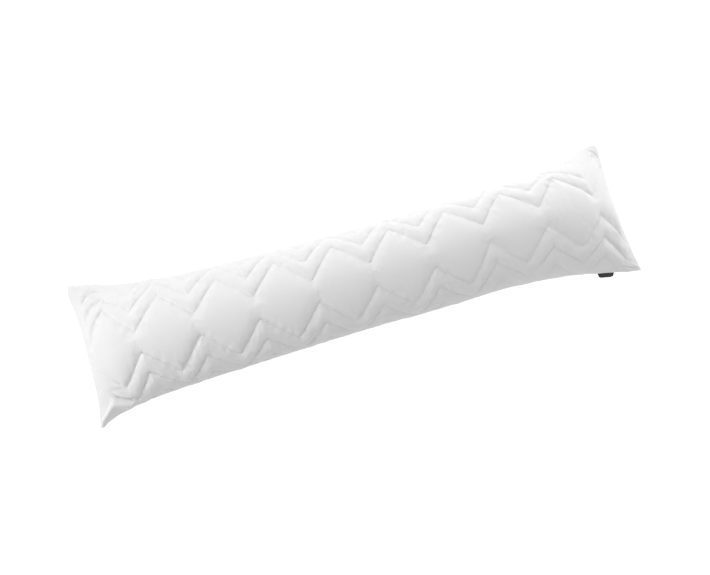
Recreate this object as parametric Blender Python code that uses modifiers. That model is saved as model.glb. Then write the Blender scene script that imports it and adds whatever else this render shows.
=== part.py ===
"""A body pillow, filled and quilted, lying on its back.

Two long panels are quilted with parallel zigzag lines, sewn together along one seam that runs all
round, turned and filled. The lines leave a middle row of large lozenges, joined at narrow necks,
with zigzag bands on either side that run out at the seam. A folded label is caught in the seam.

Metres, +Z up. +X runs along the pillow and +Y across it. The origin lies under the middle of the
pillow's box, on the surface that it rests on.
"""

from collections import namedtuple

import bmesh
import bpy
import numpy as np

# One row for each cross-section of the filled pillow, without the quilting's relief.
# along: distance from the pillow's middle; far and near: reach of the seam to +Y and -Y;
# crown and belly: height of the face above the seam and depth of the back below it;
# seam: height of the seam; drift: how far the quilting has slipped towards +Y round the pillow;
# edge: 0.5 gives a round side, and 1 a side that meets the seam as a thin edge.
Section = namedtuple("Section", "along far near crown belly seam drift edge")
SECTIONS = (
    Section(-0.688, 0.193, 0.171, 0.004, 0.004, 0.069, -0.013, 1.05),
    Section(-0.668, 0.189, 0.161, 0.032, 0.022, 0.072, -0.012, 0.95),
    Section(-0.632, 0.178, 0.143, 0.064, 0.050, 0.079, -0.010, 0.85),
    Section(-0.580, 0.162, 0.134, 0.088, 0.078, 0.088, -0.008, 0.70),
    Section(-0.500, 0.147, 0.128, 0.100, 0.097, 0.095, -0.004, 0.60),
    Section(-0.360, 0.132, 0.124, 0.106, 0.105, 0.098, -0.001, 0.54),
    Section(-0.180, 0.125, 0.122, 0.107, 0.106, 0.099, -0.003, 0.53),
    Section(0.000, 0.120, 0.121, 0.107, 0.106, 0.099, -0.005, 0.53),
    Section(0.180, 0.118, 0.127, 0.106, 0.106, 0.099, 0.001, 0.53),
    Section(0.360, 0.119, 0.130, 0.105, 0.105, 0.098, 0.008, 0.54),
    Section(0.500, 0.122, 0.141, 0.100, 0.097, 0.095, 0.012, 0.58),
    Section(0.580, 0.131, 0.156, 0.092, 0.080, 0.089, 0.014, 0.69),
    Section(0.632, 0.144, 0.170, 0.069, 0.054, 0.080, 0.016, 0.85),
    Section(0.668, 0.150, 0.182, 0.034, 0.024, 0.074, 0.017, 0.97),
    Section(0.688, 0.152, 0.189, 0.004, 0.004, 0.071, 0.018, 1.05),
)
NEAR_EDGE_LONGER = 0.050  # the near edge is longer than the far one: growth of x per metre of -y
END_BOW = {-1: 0.003, 1: 0.009}  # how far each end seam is drawn in between its corners
EAR_REACH = 0.120  # length of each end over which the corners are drawn out
CONTACT_HEIGHT = 0.0  # the back is pressed flat at this height

# The quilting, measured along the cloth.
REPEAT = 0.144  # from one neck of the middle row to the next
FIFTH_NECK = 0.043  # the fifth neck's distance from the pillow's middle
NECK_HALF = 0.029  # half the middle row's width at a neck
SWING = 0.070  # how far each line swings out between two necks
LINE_GAP = 0.051  # from one line of a side to the next
SLANT = 0.055  # how far the lines lean along the pillow, per metre across it
LEAN_WIDTH = 0.190  # half the panel's width
SHOULDER = 0.006  # from a line to the full side of its groove
LOZENGE_RISE = 0.013  # a lozenge's height above its stitch lines, where it is widest
NECK_RISE = 0.006
BAND_RISE = 0.007
COLUMNS_PER_REPEAT = 6

# The rows of each side, from the middle out. after: the last line inside this row, 0 being the
# pillow's middle and 4 its seam; share: how far towards the next line; shift: added distance;
# rise: share of the full relief.
Row = namedtuple("Row", "after share shift rise")
ROWS = (
    Row(0, 0.36, 0.0, 0.93),
    Row(0, 0.70, 0.0, 0.70),
    Row(1, 0.00, -SHOULDER, 0.42),
    Row(1, 0.00, 0.0, 0.0),
    Row(1, 0.00, SHOULDER, 0.60),
    Row(1, 0.50, 0.0, 1.0),
    Row(2, 0.00, -SHOULDER, 0.60),
    Row(2, 0.00, 0.0, 0.0),
    Row(2, 0.00, SHOULDER, 0.60),
    Row(2, 0.50, 0.0, 1.0),
    Row(3, 0.00, -SHOULDER, 0.60),
    Row(3, 0.00, 0.0, 0.0),
    Row(3, 0.00, SHOULDER, 0.60),
    Row(3, 0.40, 0.0, 1.0),
    Row(3, 0.75, 0.0, 0.8),
)
ROW_LEAST_GAP = 0.004
RELIEF_FADE = 0.030  # the relief dies away over this distance from the seam

# The seam: a rounded edge rather than a knife's.
RIM_INSET = 0.003
RIM_HALF_THICKNESS = 0.0025

# The folded label, in the near seam.
LABEL_FROM, LABEL_TO = 0.587, 0.627  # along the seam
LABEL_REACH = 0.013
LABEL_THICKNESS = 0.0016
LABEL_DROOP = 0.009
LABEL_TAPER = 0.003  # each side leans in by this much
LABEL_WAVE = 0.0012
LABEL_GAP = 0.0005  # between the label and the seam's smooth line
LABEL_STEPS = (8, 4)  # along and across

CURVE_STEPS = 400

Cloth = namedtuple("Cloth", "name color roughness")
WHITE = Cloth("white_microfibre", (0.86, 0.86, 0.86), 0.85)
BLACK = Cloth("black_ribbon", (0.012, 0.012, 0.013), 0.70)


def clear_scene():
    for obj in list(bpy.data.objects):
        bpy.data.objects.remove(obj, do_unlink=True)


def material(cloth):
    made = bpy.data.materials.new(cloth.name)
    made.use_nodes = True
    shader = made.node_tree.nodes["Principled BSDF"]
    shader.inputs["Base Color"].default_value = (*cloth.color, 1.0)
    shader.inputs["Roughness"].default_value = cloth.roughness
    shader.inputs["Metallic"].default_value = 0.0
    return made


def smooth_step(value):
    share = np.clip(value, 0.0, 1.0)
    return share * share * (3.0 - 2.0 * share)


def read_section(name, x):
    """A column of SECTIONS as a smooth curve that doesn't overshoot its rows."""
    at = np.array([row.along for row in SECTIONS])
    height = np.array([getattr(row, name) for row in SECTIONS])
    slope = np.diff(height) / np.diff(at)
    tangent = np.zeros(len(at))
    rising = slope[:-1] * slope[1:]
    tangent[1:-1] = np.where(rising > 0, 2 * rising / (slope[:-1] + slope[1:] + 1e-12), 0.0)
    tangent[0], tangent[-1] = slope[0], slope[-1]
    x = np.clip(x, at[0], at[-1])
    i = np.clip(np.searchsorted(at, x, "right") - 1, 0, len(at) - 2)
    step = at[i + 1] - at[i]
    t = (x - at[i]) / step
    start = (2 * t**3 - 3 * t**2 + 1) * height[i] + (t**3 - 2 * t**2 + t) * step * tangent[i]
    end = (-2 * t**3 + 3 * t**2) * height[i + 1] + (t**3 - t**2) * step * tangent[i + 1]
    return start + end


def crown_line():
    """Distances along the pillow and, for each, the cloth's length from the middle to there."""
    x = np.linspace(SECTIONS[0].along, SECTIONS[-1].along, CURVE_STEPS * 4)
    z = read_section("seam", x) + read_section("crown", x)
    length = np.concatenate([[0.0], np.cumsum(np.hypot(np.diff(x), np.diff(z)))])
    return x, length - np.interp(0.0, x, length)


def section_curve(x, face):
    """Cloth length from the near seam, y and z along one face of the section at x."""
    far, near = read_section("far", x), read_section("near", x)
    height = read_section("crown" if face > 0 else "belly", x)
    turn = np.linspace(-np.pi / 2, np.pi / 2, CURVE_STEPS)
    y = np.sin(turn)
    z = face * height * np.clip(1.0 - y * y, 0.0, 1.0) ** read_section("edge", x)
    y = (far + near) / 2 * y + (far - near) / 2
    length = np.concatenate([[0.0], np.cumsum(np.hypot(np.diff(y), np.diff(z)))])
    return length, y, z + read_section("seam", x)


def between_necks(u):
    """0 at a neck of the middle row and 1 half way to the next, along straight lines."""
    phase = ((u - FIFTH_NECK) / REPEAT) % 1.0
    return 1.0 - abs(2.0 * phase - 1.0)


def column_places(cloth_from, cloth_to):
    """Cloth lengths of the columns: both end seams, their rims and each step of the zigzag."""
    step = REPEAT / COLUMNS_PER_REPEAT
    first = int(np.ceil((cloth_from + 2.5 * RIM_INSET - FIFTH_NECK) / step))
    last = int(np.floor((cloth_to - 2.5 * RIM_INSET - FIFTH_NECK) / step))
    inner = [FIFTH_NECK + i * step for i in range(first, last + 1)]
    ends = [cloth_from, cloth_from + RIM_INSET], [cloth_to - RIM_INSET, cloth_to]
    return np.array(ends[0] + inner + ends[1])


def side_rows(u, half, drift, side, middle_rise):
    """(distance from the pillow's middle, relief) of each row on one side of a column, going out."""
    swing = NECK_HALF + SWING * between_necks(u)
    lines = [0.0, swing, swing + LINE_GAP, swing + 2 * LINE_GAP, half - side * drift]
    found = []
    for i, row in enumerate(ROWS):
        inner, outer = lines[row.after], lines[row.after + 1]
        s = inner + row.share * max(outer - inner, 0.0) + row.shift + side * drift
        s = min(s, half - RIM_INSET - (len(ROWS) - i) * ROW_LEAST_GAP)
        in_middle = row.after == 0 or row.after == 1 and row.shift < 0
        found.append((s, (middle_rise if in_middle else BAND_RISE) * row.rise))
    return found + [(half - RIM_INSET, 0.0), (half, 0.0)]


def column_rows(u, x, face):
    """Share of the half width, from -1 to 1, and relief of each row of the column at x."""
    half, drift = section_curve(x, face)[0][-1] / 2, read_section("drift", x)
    middle_rise = NECK_RISE + (LOZENGE_RISE - NECK_RISE) * smooth_step(between_necks(u))
    far, near = (side_rows(u, half, drift, side, middle_rise) for side in (1, -1))
    rows = [(-s, rise) for s, rise in reversed(near)] + [(drift, middle_rise)] + far
    s, relief = np.array(rows).T
    return s / half, relief * smooth_step((half - abs(s)) / RELIEF_FADE)


def surface_point(x, share, face):
    """y and z at a share of the half width, measured along the cloth of the section at x."""
    length, y, z = section_curve(x, face)
    at = (1.0 + share) * length[-1] / 2
    return np.interp(at, length, y), np.interp(at, length, z)


def drawn_out(x, y):
    """x moved for the longer near edge and for the end seams' bow between their corners."""
    edge = np.where(y > 0, read_section("far", x), read_section("near", x))
    reach = smooth_step((abs(x) - SECTIONS[-1].along + EAR_REACH) / EAR_REACH)
    bow = np.where(x > 0, END_BOW[1], -END_BOW[-1])
    return float(x * (1.0 - NEAR_EDGE_LONGER * y) + bow * reach * (y / edge) ** 2)


def shape_panel(bm, face):
    """A grid of cloth shaped as the face (1) or the back (-1), with the quilting's relief."""
    along, cloth = crown_line()
    places = column_places(cloth[0], cloth[-1])
    row_count = 2 * len(ROWS) + 5
    made = bmesh.ops.create_grid(bm, x_segments=len(places) - 1, y_segments=row_count - 1, size=1.0)
    verts = sorted(made["verts"], key=lambda v: (round(v.co.x, 5), round(v.co.y, 5)))
    end_columns, end_rows = (0, len(places) - 1), (0, row_count - 1)
    reliefs = {}
    for n, vert in enumerate(verts):
        i, j = divmod(n, row_count)
        if j == 0:
            u = places[i]
            from_end = min(u - cloth[0], cloth[-1] - u)
            shares, rises = column_rows(u, float(np.interp(u, cloth, along)), face)
            lean = SLANT * LEAN_WIDTH * smooth_step((from_end - RIM_INSET) / EAR_REACH)
            rises = rises * smooth_step(from_end / RELIEF_FADE)
        x = float(np.interp(u - lean * shares[j], cloth, along))
        y, z = surface_point(x, shares[j], face)
        seam = read_section("seam", x)
        if i in end_columns or j in end_rows:
            z = seam
        elif i - 1 in end_columns or i + 1 in end_columns or j - 1 in end_rows or j + 1 in end_rows:
            z = seam + face * max(face * (z - seam), RIM_HALF_THICKNESS)
        vert.co = drawn_out(x, y), y, z
        reliefs[vert] = rises[j]
    faces = {f for vert in reliefs for f in vert.link_faces}
    bm.normal_update()
    if face * sum(f.normal.z for f in faces) < 0:
        bmesh.ops.reverse_faces(bm, faces=list(faces))
        bm.normal_update()
    for vert, rise in reliefs.items():
        vert.co += vert.normal * rise
        vert.co.z = max(vert.co.z, CONTACT_HEIGHT)


def add_object(bm, name, cloth, parent, collection):
    mesh = bpy.data.meshes.new(name)
    bm.to_mesh(mesh)
    bm.free()
    mesh.materials.append(material(cloth))
    mesh.shade_smooth()
    made = bpy.data.objects.new(name, mesh)
    made.parent = parent
    collection.objects.link(made)
    return made


def pillow(parent, collection):
    bm = bmesh.new()
    shape_panel(bm, 1)
    shape_panel(bm, -1)
    bmesh.ops.remove_doubles(bm, verts=bm.verts, dist=0.00001)
    bmesh.ops.triangulate(bm, faces=bm.faces, quad_method="SHORT_EDGE")
    bmesh.ops.recalc_face_normals(bm, faces=bm.faces)
    return add_object(bm, "pillow", WHITE, parent, collection)


def side_label(parent, collection):
    """A loop of ribbon caught in the near seam, hanging down a little."""
    steps_along, steps_across = LABEL_STEPS
    bm = bmesh.new()
    bmesh.ops.create_grid(bm, x_segments=steps_along, y_segments=steps_across, size=0.5)
    for vert in bm.verts:
        across, out = vert.co.x + 0.5, 0.5 - vert.co.y
        x = LABEL_FROM + across * (LABEL_TO - LABEL_FROM)
        seam = -float(read_section("near", x))
        lean = LABEL_TAPER * (1.0 - 2.0 * across) * out
        lift = LABEL_WAVE * np.sin(2 * np.pi * across) * out - LABEL_DROOP * out**1.6
        y = seam - LABEL_GAP - out * LABEL_REACH
        vert.co = drawn_out(x, seam) + lean, y, read_section("seam", x) + lift
    made = add_object(bm, "side_label", BLACK, parent, collection)
    solid = made.modifiers.new("Folded ribbon", "SOLIDIFY")
    solid.thickness = LABEL_THICKNESS
    solid.offset = 0.0
    return made


def centre_under_box(parent, pieces):
    """Moves the parent so that the box's middle is over the origin."""
    bpy.context.view_layer.update()
    corners = [piece.matrix_world @ v.co for piece in pieces for v in piece.data.vertices]
    for axis in (0, 1):
        reach = [corner[axis] for corner in corners]
        parent.location[axis] = -(min(reach) + max(reach)) / 2


def main():
    clear_scene()
    collection = bpy.data.collections.new("body_pillow")
    bpy.context.scene.collection.children.link(collection)
    parent = bpy.data.objects.new("body_pillow", None)
    collection.objects.link(parent)
    pieces = [pillow(parent, collection), side_label(parent, collection)]
    centre_under_box(parent, pieces)


main()
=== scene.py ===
"""The looks of a filled and quilted body pillow, lying on its back on a pale floor.

Metres, +Z up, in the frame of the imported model: +X runs along the pillow towards the end with the
label, +Y across it away from the label.
"""

from __future__ import annotations

import logging
import math
from dataclasses import dataclass, field
from enum import Enum

import bpy
import numpy as np
from mathutils import Matrix, Vector

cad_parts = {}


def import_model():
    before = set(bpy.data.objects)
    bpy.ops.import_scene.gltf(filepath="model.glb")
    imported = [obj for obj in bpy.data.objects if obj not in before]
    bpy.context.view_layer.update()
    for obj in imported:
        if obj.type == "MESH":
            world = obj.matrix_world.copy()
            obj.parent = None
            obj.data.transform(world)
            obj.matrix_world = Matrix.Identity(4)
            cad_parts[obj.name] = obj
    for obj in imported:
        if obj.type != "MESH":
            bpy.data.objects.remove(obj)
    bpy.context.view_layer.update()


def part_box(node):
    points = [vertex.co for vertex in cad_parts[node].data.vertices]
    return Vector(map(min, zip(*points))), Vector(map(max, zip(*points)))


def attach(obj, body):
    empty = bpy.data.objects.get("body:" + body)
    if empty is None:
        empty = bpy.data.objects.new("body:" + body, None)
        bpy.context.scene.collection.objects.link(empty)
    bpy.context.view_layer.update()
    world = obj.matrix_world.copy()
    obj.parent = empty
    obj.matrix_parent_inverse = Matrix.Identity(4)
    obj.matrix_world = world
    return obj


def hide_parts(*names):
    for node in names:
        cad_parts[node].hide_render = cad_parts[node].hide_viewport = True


log = logging.getLogger("body_pillow")


class Face(Enum):
    """The two panels of the pillow."""

    FRONT = 1
    BACK = -1


class Side(Enum):
    """The two long sides of the pillow."""

    FAR = 1
    NEAR = -1


def smooth_step(value: np.ndarray | float) -> np.ndarray:
    """0 below 0, 1 above 1, and a soft slope between.

    Args:
        value: A number or an array.

    Returns:
        The eased value.
    """
    share = np.clip(value, 0.0, 1.0)
    return share * share * (3.0 - 2.0 * share)


def ramp(value: np.ndarray | float, start: float, length: float) -> np.ndarray:
    """0 up to a start, 1 from a length beyond it, and a soft slope between."""
    return smooth_step((value - start) / length)


def mix(first: np.ndarray | float, second: np.ndarray | float, share: np.ndarray | float) -> np.ndarray:
    """The first value where the share is 0 and the second where it is 1."""
    return first + (second - first) * share


def mesh_rows(mesh: bpy.types.Mesh, name: str = "co") -> np.ndarray:
    """The places or another vector of a mesh's points, a row each."""
    rows = np.empty(len(mesh.vertices) * 3, np.float32)
    mesh.vertices.foreach_get(name, rows)
    return rows.reshape(-1, 3)


def move_points(mesh: bpy.types.Mesh, points: np.ndarray) -> None:
    """Puts a mesh's points at new places, a row each."""
    mesh.vertices.foreach_set("co", points.astype(np.float32).ravel())
    mesh.update()


def map_rows(mesh: bpy.types.Mesh, name: str) -> np.ndarray:
    """A UV map's coordinates at a mesh's points, a row each."""
    vertex = np.empty(len(mesh.loops), np.int64)
    mesh.loops.foreach_get("vertex_index", vertex)
    values = np.empty(len(mesh.loops) * 2, np.float32)
    mesh.uv_layers[name].data.foreach_get("uv", values)
    rows = np.zeros((len(mesh.vertices), 2))
    rows[vertex] = values.reshape(-1, 2)
    return rows


def linked(name: str, data: bpy.types.ID) -> bpy.types.Object:
    """A new object in the scene."""
    made = bpy.data.objects.new(name, data)
    bpy.context.scene.collection.objects.link(made)
    return made


def gauss(distance: np.ndarray, width: float | np.ndarray) -> np.ndarray:
    """A bell curve, 1 at no distance."""
    return np.exp(-((distance / width) ** 2))


class Socket:
    """A node's output, with arithmetic that adds Math nodes."""

    def __init__(self, shader: Shader, socket: bpy.types.NodeSocket) -> None:
        """Wraps an output socket of a shader's tree."""
        self.shader = shader
        self.socket = socket

    def _math(self, operation: str, first: object, second: object) -> Socket:
        """The output of one Math node on two values."""
        node = self.shader.node("ShaderNodeMath", {"operation": operation}, {0: first, 1: second})
        return self.shader.out(node)

    def __add__(self, other: object) -> Socket:
        """Sum."""
        return self._math("ADD", self, other)

    def __radd__(self, other: object) -> Socket:
        """Sum, reflected."""
        return self._math("ADD", other, self)

    def __sub__(self, other: object) -> Socket:
        """Difference."""
        return self._math("SUBTRACT", self, other)

    def __mul__(self, other: object) -> Socket:
        """Product."""
        return self._math("MULTIPLY", self, other)

    def __rmul__(self, other: object) -> Socket:
        """Product, reflected."""
        return self._math("MULTIPLY", other, self)

    def __rpow__(self, other: object) -> Socket:
        """Power, reflected."""
        return self._math("POWER", other, self)


class Shader:
    """A material's node tree around its Principled BSDF."""

    def __init__(self, name: str) -> None:
        """Makes an empty material of that name."""
        self.material = bpy.data.materials.new(name)
        self.material.use_nodes = True
        self.tree = self.material.node_tree
        self.surface = self.tree.nodes["Principled BSDF"]

    def node(self, kind: str, settings: dict | None = None, inputs: dict | None = None) -> bpy.types.Node:
        """Adds a node.

        Args:
            kind: The node's type.
            settings: Its properties.
            inputs: Values or links of its sockets, by name or number.

        Returns:
            The node.
        """
        made = self.tree.nodes.new(kind)
        for name, value in (settings or {}).items():
            setattr(made, name, value)
        for name, value in (inputs or {}).items():
            self.feed(made.inputs[name], value)
        return made

    def feed(self, socket: bpy.types.NodeSocket, value: object) -> None:
        """Links or sets an input socket."""
        if isinstance(value, Socket):
            self.tree.links.new(value.socket, socket)
        else:
            socket.default_value = value

    def out(self, node: bpy.types.Node, name: str | int = 0) -> Socket:
        """One output of a node."""
        return Socket(self, node.outputs[name])

    def cloth_place(self, layer: str = "cloth_map") -> Socket:
        """The coordinates of one of the cloth's own UV maps."""
        return self.out(self.node("ShaderNodeUVMap", {"uv_map": layer}))

    def flat_noise(self, place: Socket, scale: float, detail: float, roughness: float = 0.5) -> Socket:
        """Noise over flat coordinates, about 0.5."""
        inputs = {"Vector": place, "Scale": scale, "Detail": detail, "Roughness": roughness}
        return self.out(self.node("ShaderNodeTexNoise", {"noise_dimensions": "2D"}, inputs))

    def colour(self, red: Socket, green: Socket, blue: Socket) -> Socket:
        """A colour from its three parts."""
        inputs = {"Red": red, "Green": green, "Blue": blue}
        return self.out(self.node("ShaderNodeCombineColor", {}, inputs))

    def relief(self, height: Socket) -> Socket:
        """A normal bent by a height in metres."""
        inputs = {"Height": height, "Distance": 1.0, "Strength": 1.0}
        return self.out(self.node("ShaderNodeBump", {}, inputs))

    def finish(self, **values: object) -> bpy.types.Material:
        """Sets sockets of the Principled BSDF, with _ for a space in their names.

        Returns:
            The material.
        """
        for name, value in values.items():
            self.feed(self.surface.inputs[name.replace("_", " ")], value)
        return self.material


@dataclass(frozen=True)
class Microfibre:
    """White brushed microfibre, quilted: soft, matt, with a faint crinkle and a very fine weave."""

    name: str = "white_microfibre"
    lightest: float = 0.80
    darkest: float = 0.77
    roughest: float = 0.94
    smoothest: float = 0.86
    weave: float = 0.0007
    yarn_stretch: float = 0.35
    weave_depth: float = 0.00006
    crinkle: float = 0.011
    crinkle_stretch: float = 1.4
    crinkle_depth: float = 0.00045
    patches: float = 9.0
    patch_share: float = 0.6
    groove_width: float = 0.0022
    groove_depth: float = 0.0006
    pucker: float = 0.006
    pucker_stretch: float = 0.25
    pucker_reach: float = 0.007
    pucker_depth: float = 0.0016

    def material(self) -> bpy.types.Material:
        """Builds the finish.

        Returns:
            The material.
        """
        shader = Shader(self.name)
        cloth = shader.cloth_place()

        def grain(along: float, across: float, detail: float) -> Socket:
            """Noise in the cloth's own coordinates, so many to a metre each way."""
            scaled = shader.node("ShaderNodeMapping", {}, {"Vector": cloth, "Scale": (along, across, 1.0)})
            return shader.flat_noise(shader.out(scaled), 1.0, detail, 0.6)

        warp = grain(self.yarn_stretch / self.weave, 1.0 / self.weave, 1.0)
        weft = grain(1.0 / self.weave, self.yarn_stretch / self.weave, 1.0)
        crumple = grain(1.0 / self.crinkle, self.crinkle_stretch / self.crinkle, 3.0)
        patch = grain(self.patches, self.patches, 2.0)
        sewn = shader.node("ShaderNodeSeparateXYZ", {}, {0: shader.cloth_place("stitch_map")})
        along, away = shader.out(sewn, "X"), shader.out(sewn, "Y")
        groove = math.e ** (away * away * (-1.0 / self.groove_width**2))
        gathered = math.e ** (away * (-1.0 / self.pucker_reach))
        beside = {"X": along * (1.0 / self.pucker), "Y": away * (self.pucker_stretch / self.pucker)}
        stitch_place = shader.out(shader.node("ShaderNodeCombineXYZ", {}, beside))
        pucker = shader.flat_noise(stitch_place, 1.0, 1.0, 0.6)
        height = (warp + weft) * self.weave_depth + crumple * self.crinkle_depth
        height = height + pucker * gathered * self.pucker_depth - groove * self.groove_depth
        tone = patch * self.patch_share + crumple * (1.0 - self.patch_share)
        tone = tone * (self.lightest - self.darkest) + self.darkest
        return shader.finish(
            Base_Color=shader.colour(tone, tone, tone),
            Roughness=self.smoothest + (self.roughest - self.smoothest) * crumple,
            Normal=shader.relief(height),
            Sheen_Weight=0.12,
            Sheen_Roughness=0.5,
            Specular_IOR_Level=0.25,
        )


@dataclass(frozen=True)
class Thread:
    """White sewing thread, a little glossier than the cloth."""

    name: str = "white_thread"
    lightest: float = 0.83
    darkest: float = 0.73
    twists: float = 1800.0
    twist_depth: float = 0.0001

    def material(self) -> bpy.types.Material:
        """Builds the finish.

        Returns:
            The material.
        """
        shader = Shader(self.name)
        place = shader.out(shader.node("ShaderNodeTexCoord"), "Object")
        noise = {"Vector": place, "Scale": self.twists, "Detail": 1.0}
        twist = shader.out(shader.node("ShaderNodeTexNoise", {}, noise))
        tone = twist * (self.lightest - self.darkest) + self.darkest
        return shader.finish(
            Base_Color=shader.colour(tone, tone, tone),
            Roughness=0.55 + 0.1 * twist,
            Normal=shader.relief(twist * self.twist_depth),
        )


@dataclass(frozen=True)
class Ribbon:
    """Black woven ribbon with a fine cross rib."""

    name: str = "black_ribbon"
    grey: float = 0.012
    swing: float = 0.010
    bluer: float = 1.05
    rib: float = 0.0008
    scale_for_one_band: float = 0.314
    rib_depth: float = 0.00012
    fuzz: float = 900.0
    fuzz_depth: float = 0.00005

    def material(self) -> bpy.types.Material:
        """Builds the finish.

        Returns:
            The material.
        """
        shader = Shader(self.name)
        place = shader.cloth_place()
        bands = {"wave_type": "BANDS", "bands_direction": "Y"}
        wave = {"Vector": place, "Scale": self.scale_for_one_band / self.rib, "Distortion": 0.6}
        wave |= {"Detail": 1.0, "Detail Scale": 3.0}
        rib = shader.out(shader.node("ShaderNodeTexWave", bands, wave), "Fac")
        fuzz = shader.flat_noise(place, self.fuzz, 2.0)
        tone = rib * self.swing + fuzz * self.swing + self.grey
        return shader.finish(
            Base_Color=shader.colour(tone, tone, tone * self.bluer),
            Roughness=0.48 + 0.2 * fuzz,
            Normal=shader.relief(rib * self.rib_depth + fuzz * self.fuzz_depth),
        )


@dataclass(frozen=True)
class Section:
    """One cross-section of the filled pillow, without the quilting's relief.

    Attributes:
        along: Its place along the pillow.
        far: Distance of the far seam from the middle.
        near: Distance of the near seam.
        crown: Height of the front above the seam.
        belly: Depth of the back below it.
        seam: Height of the seam above the floor.
        drift: How far the quilting's middle lies off the cloth's, positive towards the far side.
        edge: Exponent of the side's curve: 0.5 is an ellipse, 1 a parabola.
    """

    along: float
    far: float
    near: float
    crown: float
    belly: float
    seam: float
    drift: float
    edge: float


@dataclass(frozen=True)
class FilledForm:
    """The pillow's filled shape: a plump roll that flattens into two seamed ends with four ears."""

    sections: tuple[Section, ...] = (
        Section(-0.688, 0.197, 0.171, 0.004, 0.004, 0.069, -0.013, 1.05),
        Section(-0.668, 0.189, 0.161, 0.032, 0.022, 0.072, -0.012, 0.95),
        Section(-0.632, 0.178, 0.143, 0.064, 0.050, 0.079, -0.010, 0.85),
        Section(-0.580, 0.162, 0.134, 0.088, 0.078, 0.088, -0.008, 0.70),
        Section(-0.500, 0.147, 0.128, 0.100, 0.097, 0.095, -0.004, 0.60),
        Section(-0.360, 0.132, 0.124, 0.106, 0.105, 0.098, -0.001, 0.54),
        Section(-0.180, 0.125, 0.122, 0.107, 0.106, 0.099, -0.003, 0.53),
        Section(0.000, 0.120, 0.121, 0.107, 0.106, 0.099, -0.005, 0.53),
        Section(0.180, 0.118, 0.127, 0.106, 0.106, 0.099, 0.001, 0.53),
        Section(0.360, 0.119, 0.130, 0.105, 0.105, 0.098, 0.008, 0.54),
        Section(0.500, 0.122, 0.141, 0.100, 0.097, 0.095, 0.012, 0.58),
        Section(0.580, 0.131, 0.156, 0.092, 0.080, 0.089, 0.014, 0.69),
        Section(0.632, 0.144, 0.170, 0.069, 0.054, 0.080, 0.016, 0.85),
        Section(0.668, 0.154, 0.182, 0.034, 0.024, 0.074, 0.017, 0.97),
        Section(0.688, 0.154, 0.189, 0.004, 0.004, 0.071, 0.018, 1.05),
    )
    near_edge_longer: float = 0.050
    left_near_bow: float = 0.011
    left_far_bow: float = 0.016
    left_far_tip: float = 0.010
    left_middle: float = 0.003
    right_near_bow: float = 0.0125
    right_far_bow: float = 0.0125
    right_far_tip: float = 0.0035
    right_middle: float = 0.0055
    far_bow_power: float = 1.3
    tip_share: float = 0.15
    ear_reach: float = 0.120
    steps: int = 200

    def read(self, name: str, x: np.ndarray | float) -> np.ndarray:
        """A column of the sections as a smooth curve that doesn't overshoot its rows.

        Args:
            name: The column.
            x: Distances along the pillow.

        Returns:
            The column's value at each distance.
        """
        at = np.array([row.along for row in self.sections])
        height = np.array([getattr(row, name) for row in self.sections])
        slope = np.diff(height) / np.diff(at)
        tangent = np.zeros(len(at))
        rising = slope[:-1] * slope[1:]
        tangent[1:-1] = np.where(rising > 0, 2 * rising / (slope[:-1] + slope[1:] + 1e-12), 0.0)
        tangent[0], tangent[-1] = slope[0], slope[-1]
        x = np.clip(x, at[0], at[-1])
        i = np.clip(np.searchsorted(at, x, "right") - 1, 0, len(at) - 2)
        step = at[i + 1] - at[i]
        t = (x - at[i]) / step
        start = (2 * t**3 - 3 * t**2 + 1) * height[i] + (t**3 - 2 * t**2 + t) * step * tangent[i]
        end = (-2 * t**3 + 3 * t**2) * height[i + 1] + (t**3 - t**2) * step * tangent[i + 1]
        return start + end

    def crown_line(self) -> tuple[np.ndarray, np.ndarray]:
        """Distances along the pillow and the cloth's length from the middle to each."""
        x = np.linspace(self.sections[0].along, self.sections[-1].along, 8 * self.steps)
        z = self.read("seam", x) + self.read("crown", x)
        length = np.concatenate([[0.0], np.cumsum(np.hypot(np.diff(x), np.diff(z)))])
        return x, length - np.interp(0.0, x, length)

    def section_curves(self, x: np.ndarray, face: Face) -> tuple[np.ndarray, np.ndarray, np.ndarray]:
        """One face of the section at each x: cloth length from the near seam, y and z, a row each."""
        far, near = self.read("far", x)[:, None], self.read("near", x)[:, None]
        height = self.read("crown" if face is Face.FRONT else "belly", x)[:, None]
        turn = np.linspace(-np.pi / 2, np.pi / 2, self.steps)[None]
        y = np.sin(turn)
        z = face.value * height * np.clip(1.0 - y * y, 0.0, 1.0) ** self.read("edge", x)[:, None]
        y = (far + near) / 2 * y + (far - near) / 2
        length = np.cumsum(np.hypot(np.diff(y, axis=1), np.diff(z, axis=1)), axis=1)
        return np.pad(length, ((0, 0), (1, 0))), y, z + self.read("seam", x)[:, None]

    def surface(self, x: np.ndarray, share: np.ndarray, face: Face) -> np.ndarray:
        """Points on a face.

        Args:
            x: Distances along the pillow.
            share: Shares of the half width along the cloth, from -1 to 1.
            face: The panel.

        Returns:
            The points, a row each.
        """
        length, y, z = self.section_curves(x, face)
        at = (1.0 + share) / 2 * length[:, -1]
        i = np.clip((length < at[:, None]).sum(1) - 1, 0, self.steps - 2)
        rows = np.arange(len(x))
        t = (at - length[rows, i]) / (length[rows, i + 1] - length[rows, i])
        y = y[rows, i] * (1 - t) + y[rows, i + 1] * t
        z = z[rows, i] * (1 - t) + z[rows, i + 1] * t
        return np.stack([self.drawn_out(x, y), y, z], 1)

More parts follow.
